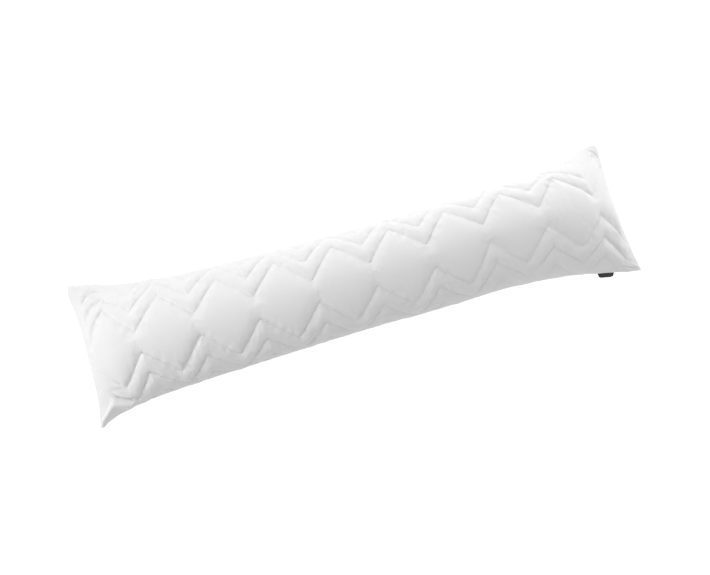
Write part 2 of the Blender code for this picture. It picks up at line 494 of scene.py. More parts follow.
    def drawn_out(self, x: np.ndarray, y: np.ndarray) -> np.ndarray:
        """x moved for the longer near edge and for the end seams' bow between their corners."""
        edge = np.where(y > 0, self.read("far", x), self.read("near", x))
        reach = smooth_step((abs(x) - self.sections[-1].along + self.ear_reach) / self.ear_reach)
        out = np.clip(abs(y) / edge, 0.0, 1.0)
        tip = smooth_step((out - (1.0 - self.tip_share)) / self.tip_share)
        left_bow = np.where(y > 0, self.left_far_bow, self.left_near_bow) * out**3
        left = self.left_middle * (1.0 - out**2) - left_bow + np.where(y > 0, self.left_far_tip, 0.0) * tip
        right_far = self.right_far_bow * out**self.far_bow_power - self.right_far_tip * tip
        right = self.right_middle + np.where(y > 0, right_far, self.right_near_bow * out**2)
        return x * (1.0 - self.near_edge_longer * y) + reach * np.where(x > 0, right, left)


@dataclass(frozen=True)
class LineShift:
    """How far the sewn lines lie off their even pattern at one place along the pillow.

    Attributes:
        along: The place, as a length of cloth.
        far_neck_in: How far the far side's necks lie nearer the middle.
        far_peak_in: The same for the far side's peaks.
        near_in: How far the near side's lines lie nearer the middle, the outer ones more so.
        near_lag: How far the near side's second line lies further right, the third twice as far.
    """

    along: float
    far_neck_in: float
    far_peak_in: float
    near_in: float
    near_lag: float


@dataclass(frozen=True)
class Quilting:
    """The zigzag stitch lines, measured along the cloth, and how high the cloth stands between them.

    Attributes:
        repeat: Length of one zigzag.
        fifth_neck: Place of the fifth neck of the middle row, counted from the left.
        neck_half: Distance of the first line from the middle at a neck.
        swing: How much further out it is at a peak.
        line_gap: Distance from one line of a side to the next.
        side_blend: Breadth in the middle over which one side's strength passes into the other's.
        near_weaker: Start and length of the near side's change to its strength on the right.
        near_stronger: Start and length of its change to the strength at the right end.
        even_again: Start and length of the change from flatter to even bands.
        leg_blend: Share of a zigzag in which a flatter leg passes into a full one.
        ground_share: The relief's own middle level, as a share of the middle row's puff.
        faded_distance: What is added to the distance to a line where the quilting has faded out.
        seam_edge: The side's exponent from which the seam draws nothing in, and the range of its fade.
    """

    repeat: float = 0.144
    fifth_neck: float = 0.043
    neck_half: float = 0.029
    swing: float = 0.070
    line_gap: float = 0.051
    slant: float = 0.055
    lean_width: float = 0.190
    overall: float = 0.006
    far_overall: float = 0.0025
    near_overall: float = 0.0060
    overall_width: float = 0.170
    middle_puff: float = 0.0075
    middle_shoulder: float = 0.007
    band_puff: float = 0.0065
    side_fade: float = 0.080
    side_share: float = 0.10
    near_flatter: float = 0.42
    far_flatter: float = 0.25
    leg_blend: float = 0.08
    near_left_strength: float = 1.25
    near_right_strength: float = 0.82
    near_end_strength: float = 1.20
    near_weaker: tuple[float, float] = (-0.35, 0.45)
    near_stronger: tuple[float, float] = (0.50, 0.08)
    even_again: tuple[float, float] = (-0.35, 0.60)
    side_blend: float = 0.06
    band_roundness: float = 0.65
    outer_share: float = 0.8
    outer_shoulder: float = 0.010
    ground_share: float = 0.6
    faded_distance: float = 0.03
    seam_draw: float = 0.0025
    seam_draw_width: float = 0.012
    seam_edge: tuple[float, float] = (0.95, 0.4)

    far_pinches: tuple[tuple[float, float], ...] = ((-0.605, 0.34), (0.547, 0.38))
    pinch_width: float = 0.038
    line_shifts: tuple[LineShift, ...] = (
        LineShift(-0.680, 0.006, 0.003, 0.000, 0.009),
        LineShift(-0.605, 0.008, 0.003, 0.000, 0.009),
        LineShift(-0.533, 0.010, 0.006, 0.000, 0.000),
        LineShift(-0.461, 0.009, 0.006, 0.000, 0.003),
        LineShift(-0.389, 0.009, 0.006, 0.000, -0.003),
        LineShift(-0.245, 0.009, 0.005, 0.000, -0.001),
        LineShift(-0.101, 0.008, 0.005, 0.000, 0.000),
        LineShift(0.187, 0.004, 0.002, 0.000, -0.004),
        LineShift(0.259, 0.0035, 0.002, 0.003, -0.003),
        LineShift(0.331, 0.003, 0.002, 0.012, 0.000),
        LineShift(0.403, 0.0025, 0.001, 0.011, 0.000),
        LineShift(0.475, 0.002, 0.000, 0.010, -0.002),
        LineShift(0.547, 0.006, 0.000, 0.011, -0.006),
        LineShift(0.619, 0.010, 0.000, 0.001, -0.013),
        LineShift(0.690, 0.010, 0.000, -0.008, -0.013),
    )
    far_shift_start: float = 0.022
    near_shift_start: float = 0.030
    near_shift_more: float = 0.7
    near_more_from: tuple[float, float] = (0.09, 0.05)
    shift_stop: float = 0.060
    lag_stop: float = 0.030
    near_valley_out: float = 0.004
    valley_start: float = 0.090
    valley_stop: float = 0.080
    near_dip: float = 0.0040
    near_dip_at: float = 0.330
    near_dip_width: float = 0.150

    def strength(self, u: np.ndarray, across: np.ndarray) -> np.ndarray:
        """How strongly the lines draw the cloth down, which changes along the near side."""
        near = mix(self.near_left_strength, self.near_right_strength, ramp(u, *self.near_weaker))
        near = mix(near, self.near_end_strength, ramp(u, *self.near_stronger))
        return mix(1.0, near, smooth_step(0.5 - across / self.side_blend))

    def fullness(self, u: np.ndarray, across: np.ndarray) -> np.ndarray:
        """How full the bands are; on the left half those that run down to the right lie flatter."""
        phase = ((u - self.fifth_neck) / self.repeat) % 1.0
        phase = np.where(across < 0, phase, 1.0 - phase)
        falling = smooth_step(phase / self.leg_blend) * smooth_step((0.5 - phase) / self.leg_blend)
        flatter = np.where(across < 0, self.near_flatter, self.far_flatter)
        return 1.0 - flatter * (1.0 - ramp(u, *self.even_again)) * falling

    def gap_share(self, u: np.ndarray, far: np.ndarray) -> np.ndarray:
        """How much of their usual gap the lines keep; two peaks on the far side are squeezed."""
        return 1.0 - sum(share * gauss(u - at, self.pinch_width) for at, share in self.far_pinches) * far

    def between_necks(self, u: np.ndarray) -> np.ndarray:
        """0 at a neck of the middle row and 1 half way to the next."""
        return 1.0 - abs(2.0 * (((u - self.fifth_neck) / self.repeat) % 1.0) - 1.0)

    def line(self, number: int, u: np.ndarray) -> np.ndarray:
        """Distance of a side's line, 1 to 3, from the middle of the quilting."""
        return self.neck_half + self.swing * self.between_necks(u) + (number - 1) * self.line_gap

    def nearest(self, number: int, u: np.ndarray, s: np.ndarray) -> tuple[np.ndarray, np.ndarray]:
        """The nearest point of a line.

        Args:
            number: The line, 1 to 3.
            u: Distances along the cloth.
            s: Distances across it from the middle, all positive.

        Returns:
            The distance to the line, and how far along the line its nearest point is.
        """
        half = self.repeat / 2
        leg = math.hypot(half, self.swing)
        first = np.floor((u - self.fifth_neck) / half)
        best, along = np.full(u.shape, np.inf), np.zeros(u.shape)
        for step in (-1, 0, 1):
            k = first + step
            rising = np.where(k % 2 == 0, 1.0, -1.0)
            start = self.neck_half + (number - 1) * self.line_gap + np.where(rising > 0, 0.0, self.swing)
            du, ds = u - self.fifth_neck - k * half, s - start
            share = np.clip((du * half + ds * rising * self.swing) / leg**2, 0.0, 1.0)
            away = np.hypot(du - share * half, ds - share * rising * self.swing)
            nearer = away < best
            best, along = np.where(nearer, away, best), np.where(nearer, (k + share) * leg, along)
        return best, along

    def shifted(self, u: np.ndarray, across: np.ndarray, limit: np.ndarray) -> tuple[np.ndarray, np.ndarray]:
        """Where points of the even pattern lie on the real pillow.

        Args:
            u: Distances along the cloth.
            across: Distances across it, positive on the far side.
            limit: Distance of the seam.

        Returns:
            The moved distances along and across.
        """
        at = [row.along for row in self.line_shifts]

        def shift(name: str) -> np.ndarray:
            """One of the shifts, read along the cloth."""
            return np.interp(u, at, [getattr(row, name) for row in self.line_shifts])

        s, between, room = abs(across), self.between_necks(u), limit - abs(across)
        stop = smooth_step(room / self.shift_stop)
        inward = mix(shift("far_neck_in"), shift("far_peak_in"), between)
        inward = inward * smooth_step(s / self.far_shift_start) * stop
        outward = self.near_valley_out * between * smooth_step(s / self.valley_start)
        outward = outward * smooth_step(room / self.valley_stop)
        more = 1.0 + self.near_shift_more * ramp(s, *self.near_more_from)
        outward = outward - shift("near_in") * smooth_step(s / self.near_shift_start) * more * stop
        lines_out = np.clip((s - self.line(1, u)) / self.line_gap, 0.0, 3.0)
        behind = shift("near_lag") * lines_out * smooth_step(room / self.lag_stop)
        near = across < 0
        return u + np.where(near, behind, 0.0), across - np.where(near, outward, inward)

    def drawn_in(self, room: np.ndarray, edge: np.ndarray) -> np.ndarray:
        """How far the seam draws the cloth beside it in.

        Args:
            room: Distance to the seam.
            edge: Exponent of the section's side, which is high at the flat ends.

        Returns:
            Metres towards the middle.
        """
        drawn = self.seam_draw * smooth_step(1.0 - room / self.seam_draw_width)
        highest, fade = self.seam_edge
        return drawn * smooth_step((highest - edge) / fade)

    def relief(
        self, u: np.ndarray, across: np.ndarray, limit: np.ndarray, left: np.ndarray
    ) -> tuple[np.ndarray, np.ndarray, np.ndarray]:
        """How far the cloth stands out.

        Args:
            u: Distances along the cloth.
            across: Distances across it from the middle of the quilting, positive on the far side.
            limit: Distance of the seam.
            left: How much of the stitch lines is left towards the ends, 0 to 1.

        Returns:
            The relief, the distance to the nearest line and the place along it.
        """
        s = abs(across)
        first = self.line(1, u)
        s = np.where(s > first, first + (s - first) / self.gap_share(u, across > 0), s)
        found = [self.nearest(number, u, s) for number in (1, 2, 3)]
        away = np.stack([d for d, _ in found])
        place = np.stack([a for _, a in found])
        zone = sum((s > self.line(number, u) + 1e-7).astype(int) for number in (1, 2, 3))
        puff = self.middle_puff * (1.0 - np.exp(-away[0] / self.middle_shoulder))
        for band in (1, 2):
            share = away[band - 1] / (away[band - 1] + away[band] + 1e-9)
            arch = np.clip(4.0 * share * (1.0 - share), 0.0, 1.0) ** self.band_roundness
            puff = np.where(zone == band, self.band_puff * self.fullness(u, across) * arch, puff)
        outer = self.outer_share * self.band_puff * (1.0 - np.exp(-away[2] / self.outer_shoulder))
        puff = np.where(zone == 3, outer, puff)
        level = self.ground_share * self.middle_puff
        puff = level + (puff - level) * left * self.strength(u, across)
        side = mix(self.side_share, 1.0, smooth_step((limit - abs(across)) / self.side_fade))
        dip = self.near_dip * gauss(u - self.near_dip_at, self.near_dip_width)
        rim = np.where(across > 0, self.far_overall, self.near_overall - dip)
        puff = puff * side + mix(self.overall, rim, smooth_step(abs(across) / self.overall_width))
        nearest = away.argmin(0)
        reached = np.take_along_axis(away, nearest[None], 0)[0]
        reached = reached + self.faded_distance * (1.0 - left)
        return puff, reached, np.take_along_axis(place, nearest[None], 0)[0]


@dataclass(frozen=True)
class Filling:
    """A short cloth simulation: the fibre pushes the panels out between what is sewn down."""

    pressure: float = 1.2
    frames: int = 20
    quality: int = 5
    slack: float = -0.008
    stiffness: float = 12.0
    bending: float = 0.3
    mass: float = 0.2
    air_drag: float = 3.0
    most_move: float = 0.003
    seed: int = 7
    unevenness: float = 0.0003

    def blow(self, made: bpy.types.Object, sewn: np.ndarray, freedom: np.ndarray) -> None:
        """Runs the simulation and applies its result.

        Args:
            made: The piece.
            sewn: How firmly each vertex is held, 0 to 1.
            freedom: How much of its movement each vertex keeps, 0 to 1.
        """
        mesh = made.data
        start = mesh_rows(mesh)
        noise = np.random.default_rng(self.seed).normal(0.0, self.unevenness, start.shape)
        move_points(mesh, start + noise * (1.0 - sewn[:, None]))
        group = made.vertex_groups.new(name="sewn")
        for weight in np.unique(sewn[sewn > 0]):
            group.add(np.flatnonzero(sewn == weight).tolist(), float(weight), "REPLACE")
        cloth = made.modifiers.new("Filling", "CLOTH")
        cloth.point_cache.frame_start, cloth.point_cache.frame_end = 1, self.frames
        rule = cloth.settings
        rule.quality, rule.mass = self.quality, self.mass
        rule.tension_stiffness = rule.compression_stiffness = self.stiffness
        rule.shear_stiffness, rule.bending_stiffness = self.stiffness / 2, self.bending
        rule.use_pressure, rule.uniform_pressure_force = True, self.pressure
        rule.vertex_group_mass, rule.shrink_min, rule.shrink_max = "sewn", self.slack, self.slack
        rule.effector_weights.gravity = 0.0
        rule.air_damping = self.air_drag
        scene = bpy.context.scene
        for frame in range(1, self.frames + 1):
            scene.frame_set(frame)
        result = made.evaluated_get(bpy.context.evaluated_depsgraph_get()).data
        end = mesh_rows(result)
        made.modifiers.remove(cloth)
        scene.frame_set(1)
        move = end - start
        far = np.linalg.norm(move, axis=1)
        middle, most = 1000 * np.median(far), 1000 * far.max()
        log.info("filling moved points by %.1f mm in the middle and %.1f mm at most", middle, most)
        move *= (freedom * self.most_move * np.tanh(far / self.most_move) / (far + 1e-9))[:, None]
        move_points(mesh, start + move)


@dataclass(frozen=True)
class Crease:
    """A short fold near a corner, from one point of the cloth to another.

    Attributes:
        start: The first point, along and across the cloth.
        end: The last point.
        height: How far it lifts the cloth, negative for a valley.
        width: Half its width.
        bow: How far its middle bends off the straight line, positive to the left of its way.
        right_width: Half its width on the right-hand side, 0 for the same.
        reach: Where it ends, in half lengths from its middle.
        run_out: The length over which it ends, in half lengths.
    """

    start: tuple[float, float]
    end: tuple[float, float]
    height: float
    width: float
    bow: float = 0.0
    right_width: float = 0.0
    reach: float = 1.15
    run_out: float = 0.6

    def rise(self, u: np.ndarray, s: np.ndarray) -> np.ndarray:
        """How far the fold lifts the cloth.

        Args:
            u: Distances along the cloth.
            s: Distances across it, positive on the far side.

        Returns:
            Metres, negative where the fold is a valley.
        """
        du, ds = self.end[0] - self.start[0], self.end[1] - self.start[1]
        length = math.hypot(du, ds)
        t = 2.0 * ((u - self.start[0]) * du + (s - self.start[1]) * ds) / length**2 - 1.0
        off = ((s - self.start[1]) * du - (u - self.start[0]) * ds) / length - self.bow * (1.0 - t * t)
        width = np.where(off < 0, self.right_width or self.width, self.width)
        return self.height * smooth_step((self.reach - abs(t)) / self.run_out) * gauss(off, width)


@dataclass(frozen=True)
class CornerFolds:
    """The folds of the four corners as they lie in the photograph, and the curl of the upper left ear."""

    lower_left: tuple[Crease, ...] = (
        Crease((-0.726, -0.166), (-0.662, -0.118), 0.009, 0.0080, 0.0, 0.011),
        Crease((-0.674, -0.121), (-0.608, -0.156), 0.011, 0.0068, 0.0, 0.015),
        Crease((-0.658, -0.112), (-0.592, -0.146), -0.008, 0.0038, -0.003),
        Crease((-0.652, -0.101), (-0.606, -0.128), 0.004, 0.004, -0.002),
        Crease((-0.662, -0.092), (-0.618, -0.098), -0.0020, 0.003),
        Crease((-0.650, -0.080), (-0.618, -0.090), 0.0015, 0.003),
    )
    upper_left: tuple[Crease, ...] = (
        Crease((-0.678, 0.133), (-0.596, 0.166), -0.0130, 0.0050, 0.010),
        Crease((-0.674, 0.090), (-0.588, 0.131), -0.0060, 0.0042, 0.008),
        Crease((-0.660, 0.052), (-0.606, 0.095), -0.0040, 0.0038, 0.003),
        Crease((-0.668, 0.118), (-0.606, 0.150), 0.0040, 0.0075, 0.008),
    )
    upper_right: tuple[Crease, ...] = (
        Crease((0.684, 0.143), (0.722, 0.116), -0.0040, 0.0034, 0.007),
        Crease((0.692, 0.131), (0.672, 0.113), -0.0030, 0.0030, 0.002),
        Crease((0.712, 0.100), (0.718, 0.088), -0.0035, 0.0040),
        Crease((0.690, 0.126), (0.698, 0.120), -0.0025, 0.0030),
        Crease((0.603, 0.144), (0.628, 0.134), -0.0018, 0.0030, 0.002),
        Crease((0.568, 0.098), (0.612, 0.082), -0.0030, 0.0032, 0.001),
    )
    lower_right: tuple[Crease, ...] = (
        Crease((0.550, -0.188), (0.578, -0.148), -0.0022, 0.0040),
        Crease((0.632, -0.192), (0.655, -0.168), -0.0028, 0.0035),
        Crease((0.666, -0.168), (0.704, -0.187), -0.0025, 0.0035),
        Crease((0.584, -0.178), (0.618, -0.172), -0.0012, 0.0035, 0.003),
        Crease((0.700, -0.165), (0.728, -0.180), 0.0020, 0.0040),
    )
    curled_up: Crease = Crease((-0.730, 0.190), (-0.625, 0.190), 0.008, 0.020)

    def rise(self, u: np.ndarray, s: np.ndarray) -> np.ndarray:
        """What all the folds together add at points of the front panel."""
        folds = self.lower_left + self.upper_left + self.upper_right + self.lower_right
        return sum(fold.rise(u, s) for fold in folds)


@dataclass
class Panel:
    """One panel's grid of points, columns along the pillow by rows across it."""

    face: Face
    points: np.ndarray
    cloth_map: np.ndarray
    stitch_map: np.ndarray
    held: np.ndarray
    freedom: np.ndarray
    index: np.ndarray | None = None

    def corners(self, grid: np.ndarray) -> np.ndarray:
        """A grid's values at the four corners of each face, in the faces' own order."""
        parts = [grid[:-1, :-1], grid[1:, :-1], grid[1:, 1:], grid[:-1, 1:]]
        parts = parts if self.face is Face.FRONT else parts[::-1]
        return np.stack(parts, 2).reshape(-1, 4, *grid.shape[2:])

    def quads(self) -> np.ndarray:
        """The vertex numbers of each face."""
        return self.corners(self.index)


@dataclass
class Pillow:
    """The quilted and filled body.

    Attributes:
        far_fade: Where the relief fades in from the left and the right end, on the far side.
        near_fade: The same on the near side.
        fade_blend: Breadth in the middle over which one side's fade passes into the other's.
        least_end_step: Least width of the first and the last column, as a share of the others.
        crowding: How much the rows crowd towards the lines, in the middle row and in the bands.
        line_room: How near to the seam the third line may lie.
        row_room: How much further from it each line before must lie.
        sewn_from: Share of the relief below which the lines are no longer sewn.
        back_map: How far the back's cloth map lies off the front's.
        stitch_apart: How far the gathers of the back and of the far side lie off the others.
        panels: The two panels, once built.
        surface: The finished mesh's points.
        normals: The finished mesh's normals.
    """

    form: FilledForm = field(default_factory=FilledForm)
    quilting: Quilting = field(default_factory=Quilting)
    cloth: Microfibre = field(default_factory=Microfibre)
    filling: Filling = field(default_factory=Filling)
    columns_per_repeat: int = 30
    far_fade: tuple[tuple[float, float], tuple[float, float]] = ((0.030, 0.090), (0.085, 0.125))
    near_fade: tuple[tuple[float, float], tuple[float, float]] = ((0.080, 0.130), (0.003, 0.024))
    end_lift: float = 0.075
    middle_steps: int = 9
    band_steps: int = 9
    outer_steps: int = 7
    folds: CornerFolds = field(default_factory=CornerFolds)
    pucker_rise: float = 0.0007
    pucker_length: float = 0.011
    pucker_reach: float = 0.006
    gather_seed: int = 11
    gather_knots: int = 4000
    first_knot: float = 1500.0
    ears_off_middle: float = 0.002
    fade_blend: float = 0.06
    least_end_step: float = 0.6
    crowding: tuple[float, float] = (0.55, 0.5)
    line_room: float = 0.004
    row_room: float = 0.012
    follow_from_end: float = 0.040
    sewn_from: float = 0.1
    least_freedom: float = 0.2
    freedom_ramp: tuple[float, float] = (0.010, 0.050)
    back_map: float = 2.0
    stitch_apart: tuple[float, float] = (3.0, 7.0)
    panels: tuple[Panel, ...] = ()
    surface: np.ndarray | None = None
    normals: np.ndarray | None = None

    def places(self) -> np.ndarray:
        """Cloth lengths of the grid's columns, from end seam to end seam."""
        first, last = self.form.crown_line()[1][[0, -1]]
        step = self.quilting.repeat / self.columns_per_repeat
        margin = self.least_end_step * step
        low = math.ceil((first + margin - self.quilting.fifth_neck) / step)
        high = math.floor((last - margin - self.quilting.fifth_neck) / step)
        inner = self.quilting.fifth_neck + step * np.arange(low, high + 1)
        return np.concatenate([[first], inner, [last]])

    def side_rows(self, u: np.ndarray, limit: np.ndarray, side: Side) -> tuple[np.ndarray, np.ndarray]:
        """The rows of one side, from the middle out.

        Args:
            u: Cloth length of each column.
            limit: Distance from the quilting's middle to the seam in each column.
            side: Far or near.

        Returns:
            Each row's distance from the quilting's middle and which points are sewn, columns by rows.
        """
        quilt = self.quilting
        bounds, sewn = [np.zeros(len(u))], []
        gap = quilt.line_gap * quilt.gap_share(u, float(side is Side.FAR))
        for number in (1, 2, 3):
            room = limit - self.line_room - (3 - number) * self.row_room
            line = quilt.line(1, u) + (number - 1) * gap
            bounds.append(np.minimum(line, room))
            sewn.append(line <= room)
        bounds.append(limit)
        sewn.append(np.ones(len(u), bool))
        rows, held = [], []
        counts = (self.middle_steps, self.band_steps, self.band_steps, self.outer_steps)
        for band, count in enumerate(counts):
            for k in range(1, count + 1):
                even = k / count
                if band == 0:
                    share = mix(even, math.sin(math.pi / 2 * even), self.crowding[0])
                else:
                    share = mix(even, (1.0 - math.cos(math.pi * even)) / 2, self.crowding[1])
                rows.append(bounds[band] + share * (bounds[band + 1] - bounds[band]))
                held.append(sewn[band] if k == count else np.zeros(len(u), bool))
        return np.stack(rows, 1), np.stack(held, 1)

    def end_fade(self, u: np.ndarray, s: np.ndarray) -> np.ndarray:
        """How much of the quilting's relief is left towards the two end seams.

        Args:
            u: Distances along the cloth.
            s: Distances across it, positive on the far side.

        Returns:
            A share, 1 away from the ends.
        """
        ends = (u - u.min(), u.max() - u)
        far = smooth_step(0.5 + s / self.fade_blend)
        left = 1.0
        for from_end, far_range, near_range in zip(ends, self.far_fade, self.near_fade):
            on_far = ramp(from_end, far_range[0], far_range[1] - far_range[0])
            on_near = ramp(from_end, near_range[0], near_range[1] - near_range[0])
            left = left * (on_far * far + on_near * (1.0 - far))
        return left

    def panel(self, face: Face) -> Panel:
        """One quilted panel in its filled shape."""
        u = self.places()
        along, cloth = self.form.crown_line()
        x = np.interp(u, cloth, along)
        half = self.form.section_curves(x, face)[0][:, -1] / 2
        drift = self.form.read("drift", x)
        far, far_held = self.side_rows(u, half - drift, Side.FAR)
        near, near_held = self.side_rows(u, half + drift, Side.NEAR)
        middle = np.zeros((len(u), 1))
        s = np.concatenate([-near[:, ::-1], middle, far], 1)
        wide = np.broadcast_to(u[:, None], s.shape)
        limit = np.where(s > 0, (half - drift)[:, None], (half + drift)[:, None])
        left = self.end_fade(wide, s)
        held = np.concatenate([near_held[:, ::-1], middle > 0, far_held], 1)
        held &= (left > self.sewn_from) | (abs(s) > 0.999 * limit)
        held[0], held[-1] = True, True
        relief, away, place = self.quilting.relief(wide, s, limit, left)
        from_end = np.minimum(u - u[0], u[-1] - u)
        relief = relief * smooth_step(from_end / self.end_lift)[:, None]
        moved_u, moved_s = self.quilting.shifted(wide, s, limit)
        share = (moved_s + drift[:, None]) / half[:, None]
        lean = self.quilting.slant * self.quilting.lean_width * smooth_step(from_end / self.form.ear_reach)
        at_end = smooth_step(from_end / self.follow_from_end)[:, None]
        x = np.interp(wide + (moved_u - wide) * at_end - lean[:, None] * share, cloth, along)
        points = self.form.surface(x.ravel(), share.ravel(), face).reshape(*s.shape, 3)
        points = self.raised(points, relief, face)
        drawn = self.quilting.drawn_in(limit - abs(s), self.form.read("edge", x))
        points[..., 1] -= np.sign(s) * drawn
        on_back = float(face is Face.BACK)
        apart = self.stitch_apart[0] * on_back + self.stitch_apart[1] * (s > 0)
        cloth_map = np.stack([wide, s + self.back_map * on_back], 2)
        stitch_map = np.stack([place + apart, away], 2)
        freedom = mix(self.least_freedom, 1.0, ramp(limit - abs(s), *self.freedom_ramp))
        return Panel(face, points, cloth_map, stitch_map, held, freedom)

    def raised(self, points: np.ndarray, relief: np.ndarray, face: Face) -> np.ndarray:
        """Points moved out along the panel's own normals."""
        du = np.gradient(points, axis=0)
        dv = np.gradient(points, axis=1)
        normal = np.cross(du, dv) * face.value
        normal /= np.linalg.norm(normal, axis=2, keepdims=True) + 1e-12
        return points + normal * relief[..., None]

    def build(self) -> tuple[bpy.types.Object, np.ndarray, np.ndarray]:
        """Makes the pillow's mesh: two grids that share their rim.

        Returns:
            The object, how firmly each vertex is held and how much of its movement it keeps.
        """
        front, back = self.panel(Face.FRONT), self.panel(Face.BACK)
        columns, rows = front.points.shape[:2]
        front.index = np.arange(columns * rows).reshape(columns, rows)
        back.index = front.index.copy()
        inner = np.arange((columns - 2) * (rows - 2)).reshape(columns - 2, rows - 2)
        back.index[1:-1, 1:-1] = columns * rows + inner
        points = np.concatenate([front.points.reshape(-1, 3), back.points[1:-1, 1:-1].reshape(-1, 3)])
        points[:, 2] = np.maximum(points[:, 2], 0.0)
        held = np.concatenate([front.held.ravel(), back.held[1:-1, 1:-1].ravel()]).astype(float)
        freedom = np.concatenate([front.freedom.ravel(), back.freedom[1:-1, 1:-1].ravel()])
        mesh = bpy.data.meshes.new("quilted_pillow")
        mesh.from_pydata(points.tolist(), [], np.concatenate([front.quads(), back.quads()]).tolist())
        for name in ("cloth_map", "stitch_map"):
            layer = mesh.uv_layers.new(name=name)
            values = np.concatenate([panel.corners(getattr(panel, name)) for panel in (front, back)])
            layer.data.foreach_set("uv", values.astype(np.float32).ravel())
        mesh.update()
        made = linked("quilted_pillow", mesh)
        self.panels = (front, back)
        return made, held, freedom

    def rest_on_floor(self, made: bpy.types.Object) -> None:
        """Presses the back flat where it touches the floor."""
        points = mesh_rows(made.data)
        points[:, 2] = np.maximum(points[:, 2], 0.0)
        move_points(made.data, points)

    def place(self, made: bpy.types.Object) -> None:
        """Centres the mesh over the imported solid, a little off it for the longer far ears."""
        low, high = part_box("pillow")
        points = mesh_rows(made.data)
        middle = (points.min(0) + points.max(0)) / 2
        right = (low[0] + high[0]) / 2 - middle[0]
        far = (low[1] + high[1]) / 2 - middle[1] + self.ears_off_middle
        made.data.transform(Matrix.Translation((right, far, 0.0)))

    def make(self) -> bpy.types.Object:
        """Builds and dresses the whole pillow.

        Returns:
            The piece, whose first vertices are still the grids' own after the subdivision.
        """
        made, held, freedom = self.build()
        self.place(made)
        self.filling.blow(made, held, freedom)
        self.rest_on_floor(made)
        made.data.materials.append(self.cloth.material())
        smooth = made.modifiers.new("Soft cloth", "SUBSURF")
        smooth.levels = smooth.render_levels = 1
        bpy.ops.object.select_all(action="DESELECT")
        made.select_set(True)
        bpy.context.view_layer.objects.active = made
        bpy.ops.object.modifier_apply(modifier=smooth.name)
        self.crumple(made)
        self.rest_on_floor(made)
        made.data.shade_smooth()
        self.surface = mesh_rows(made.data).astype(float)
        self.normals = mesh_rows(made.data, "normal").astype(float)
        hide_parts("pillow")
        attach(made, "root")
        return made

    def gathers(self, along: np.ndarray, away: np.ndarray) -> np.ndarray:
        """Small uneven waves beside the stitching.

        Args:
            along: Places along the nearest line.
            away: Distances to it.

        Returns:
            How far they lift the cloth.
        """
        rng = np.random.default_rng(self.gather_seed)
        knots = rng.normal(0.0, 1.0, self.gather_knots + 1)
        step = along / self.pucker_length + self.first_knot
        low = np.floor(step).astype(int) % self.gather_knots
        wave = mix(knots[low], knots[low + 1], smooth_step(step - np.floor(step)))
        return self.pucker_rise * wave * (away / self.pucker_reach) * np.exp(1.0 - away / self.pucker_reach)

    def crumple(self, made: bpy.types.Object) -> None:
        """Adds the corners' folds and the gathers beside the stitching to the finished mesh."""
        mesh = made.data
        cloth, stitch = map_rows(mesh, "cloth_map"), map_rows(mesh, "stitch_map")
        points = mesh_rows(mesh).astype(float)
        normals = mesh_rows(mesh, "normal").astype(float)
        u, s = cloth.T
        on_front = s < self.back_map / 2
        rise = self.folds.rise(u, s) * on_front + self.gathers(*stitch.T)
        floor = points[:, 2].min()
        points += normals * rise[:, None]
        points[:, 2] += self.folds.curled_up.rise(u, np.where(on_front, s, s - self.back_map))
        points[:, 2] = np.maximum(points[:, 2], floor)
        move_points(mesh, points)

    def stitched_rows(self) -> dict[tuple[Side, int], int]:
        """Row number of each stitch line in the grid."""
        middle = self.middle_steps + 2 * self.band_steps + self.outer_steps
        rows = {}
        for number in (1, 2, 3):
            out = self.middle_steps + (number - 1) * self.band_steps
            rows[Side.FAR, number] = middle + out
            rows[Side.NEAR, number] = middle - out
        return rows

    def line_path(self, panel: Panel, row: int) -> tuple[np.ndarray, np.ndarray, np.ndarray]:
        """Points, normals and sewn state along a row of the finished panel."""
        index = panel.index[:, row]
        return self.surface[index], self.normals[index], panel.held[:, row]


